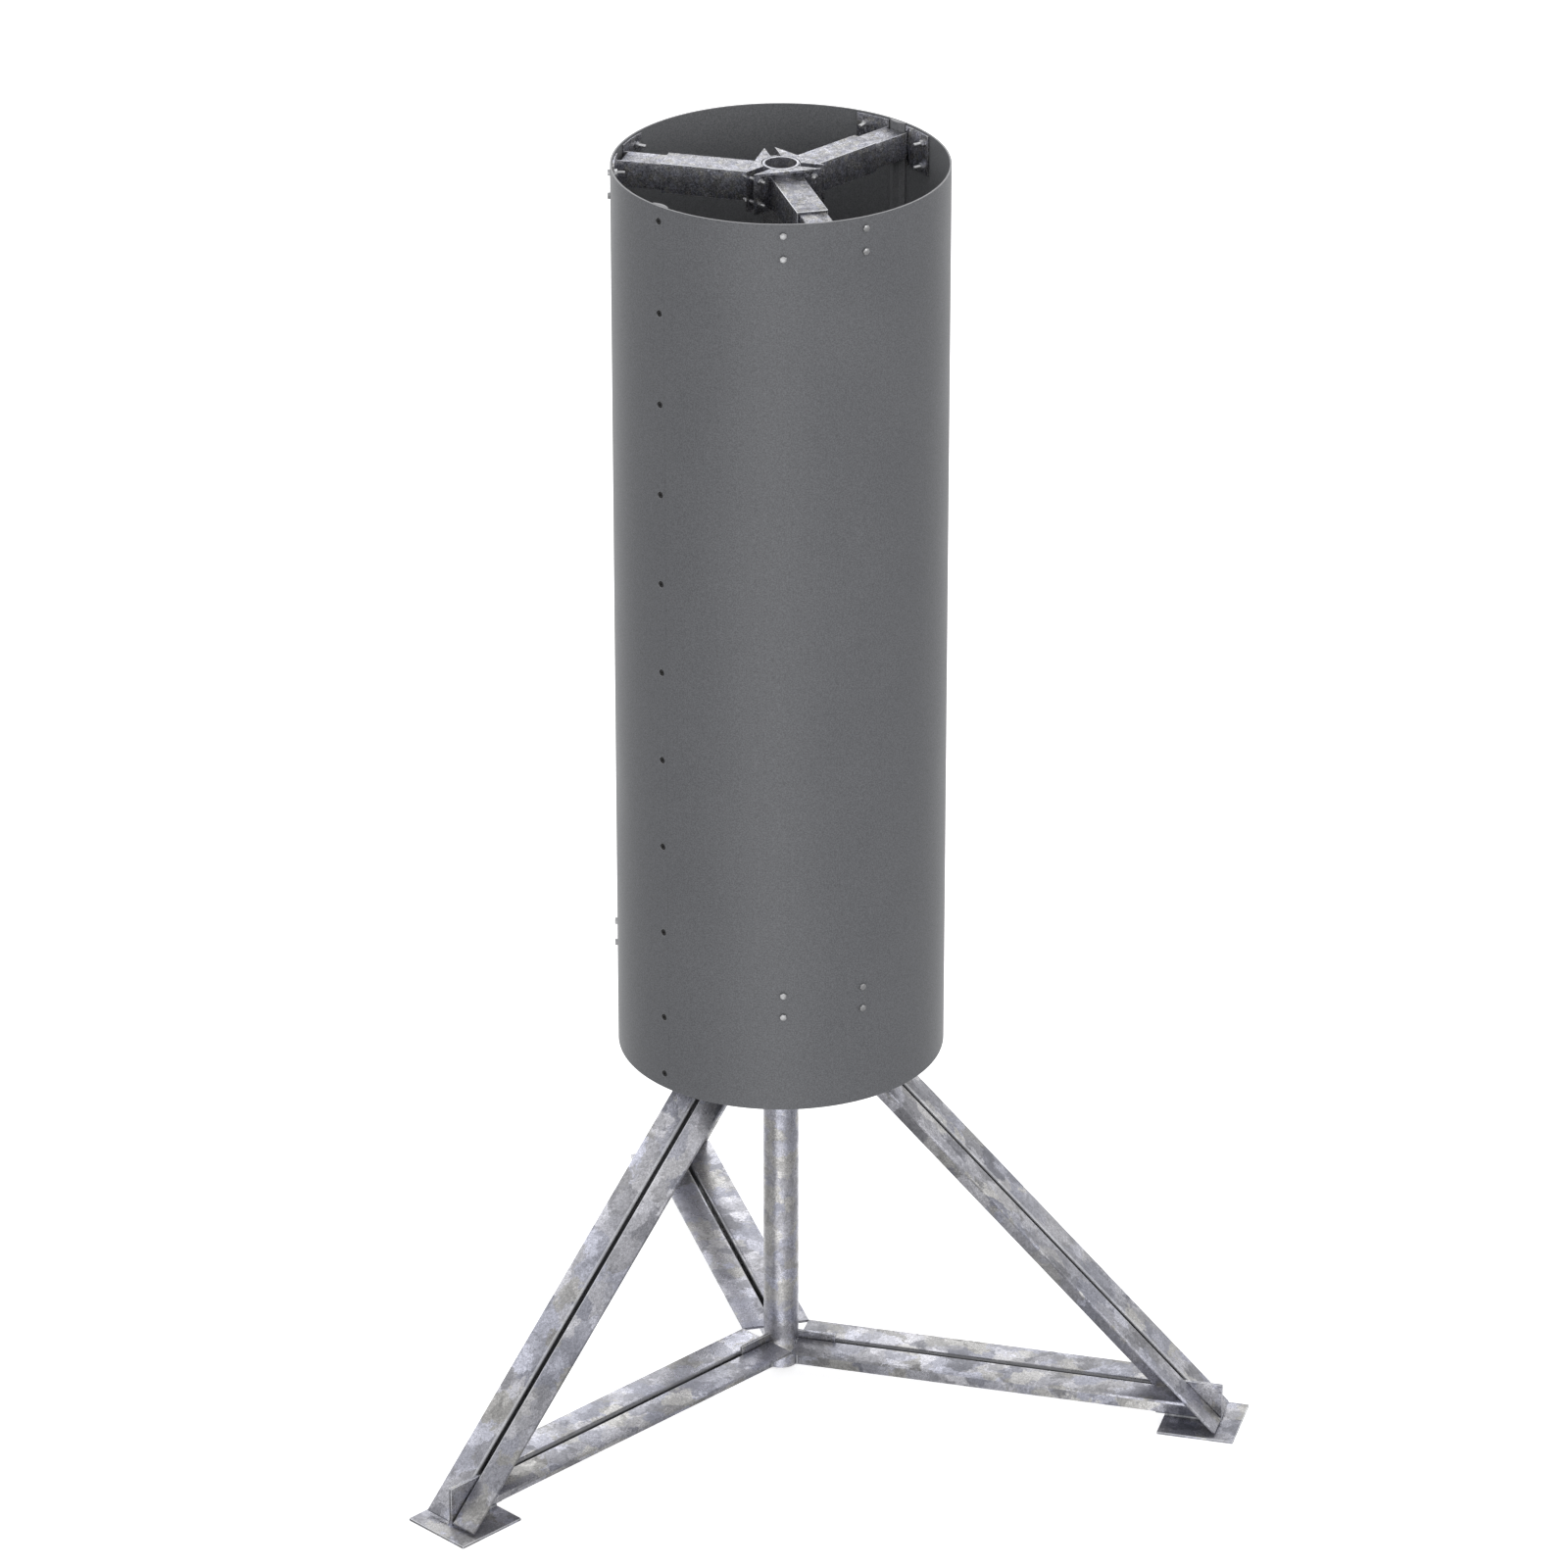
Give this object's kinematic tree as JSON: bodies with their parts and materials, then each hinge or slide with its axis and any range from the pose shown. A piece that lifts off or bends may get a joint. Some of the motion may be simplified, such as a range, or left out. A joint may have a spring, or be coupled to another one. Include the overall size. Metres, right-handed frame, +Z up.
{
  "type": "gravity game feeder",
  "caption": "Tall open-ended drum held by telescoping spider arms clamped to a central post, on a welded angle-bar tripod with square foot plates.",
  "frame": {"origin": "middle of the footprint, on the ground under the foot plates", "axes": "+Z up along the post, +X along the leg whose plate stands furthest out in +X"},
  "size_m": [1.618, 1.8684, 2.814],
  "materials": {
    "galvanised_steel": "hot-dip galvanised, mottled grey",
    "drum_grey": "dark grey, matte, fine grain",
    "zinc_plated": "bright zinc plated fasteners",
    "black_screw": "black countersunk screws"
  },
  "bodies": {
    "stand": {"post": "galvanised_steel", "foot_plate_1": "galvanised_steel", "foot_gusset_1": "galvanised_steel", "base_gusset_1": "galvanised_steel", "head_gusset_1": "galvanised_steel", "base_angle_1_left": "galvanised_steel", "base_angle_1_right": "galvanised_steel", "brace_angle_1_left": "galvanised_steel", "brace_angle_1_right": "galvanised_steel", "foot_plate_2": "galvanised_steel", "foot_gusset_2": "galvanised_steel", "base_gusset_2": "galvanised_steel", "head_gusset_2": "galvanised_steel", "base_angle_2_left": "galvanised_steel", "base_angle_2_right": "galvanised_steel", "brace_angle_2_left": "galvanised_steel", "brace_angle_2_right": "galvanised_steel", "foot_plate_3": "galvanised_steel", "foot_gusset_3": "galvanised_steel", "base_gusset_3": "galvanised_steel", "head_gusset_3": "galvanised_steel", "base_angle_3_left": "galvanised_steel", "base_angle_3_right": "galvanised_steel", "brace_angle_3_left": "galvanised_steel", "brace_angle_3_right": "galvanised_steel"},
    "drum": {"drum_shell_right": "drum_grey", "drum_shell_left": "drum_grey", "seam_strip_front": "drum_grey", "seam_strip_back": "drum_grey", "upper_hub_bracket_1": "galvanised_steel", "upper_outer_arm_1": "galvanised_steel", "upper_inner_arm_1": "galvanised_steel", "upper_hub_bracket_2": "galvanised_steel", "upper_outer_arm_2": "galvanised_steel", "upper_inner_arm_2": "galvanised_steel", "upper_hub_bracket_3": "galvanised_steel", "upper_outer_arm_3": "galvanised_steel", "upper_inner_arm_3": "galvanised_steel", "lower_hub_bracket_1": "galvanised_steel", "lower_outer_arm_1": "galvanised_steel", "lower_inner_arm_1": "galvanised_steel", "lower_hub_bracket_2": "galvanised_steel", "lower_outer_arm_2": "galvanised_steel", "lower_inner_arm_2": "galvanised_steel", "lower_hub_bracket_3": "galvanised_steel", "lower_outer_arm_3": "galvanised_steel", "lower_inner_arm_3": "galvanised_steel", "upper_hub_stud_1_high": "zinc_plated", "upper_hub_stud_1_low": "zinc_plated", "upper_hub_stud_2_high": "zinc_plated", "upper_hub_stud_2_low": "zinc_plated", "upper_hub_stud_3_high": "zinc_plated", "upper_hub_stud_3_low": "zinc_plated", "lower_hub_stud_1_high": "zinc_plated", "lower_hub_stud_1_low": "zinc_plated", "lower_hub_stud_2_high": "zinc_plated", "lower_hub_stud_2_low": "zinc_plated", "lower_hub_stud_3_high": "zinc_plated", "lower_hub_stud_3_low": "zinc_plated"}
  },
  "joints": [
    {"name": "drum_height", "type": "slide", "parent": "stand", "child": "drum", "axis": [0, 0, 1], "range_m": [-0.05, 0.04]}
  ]
}
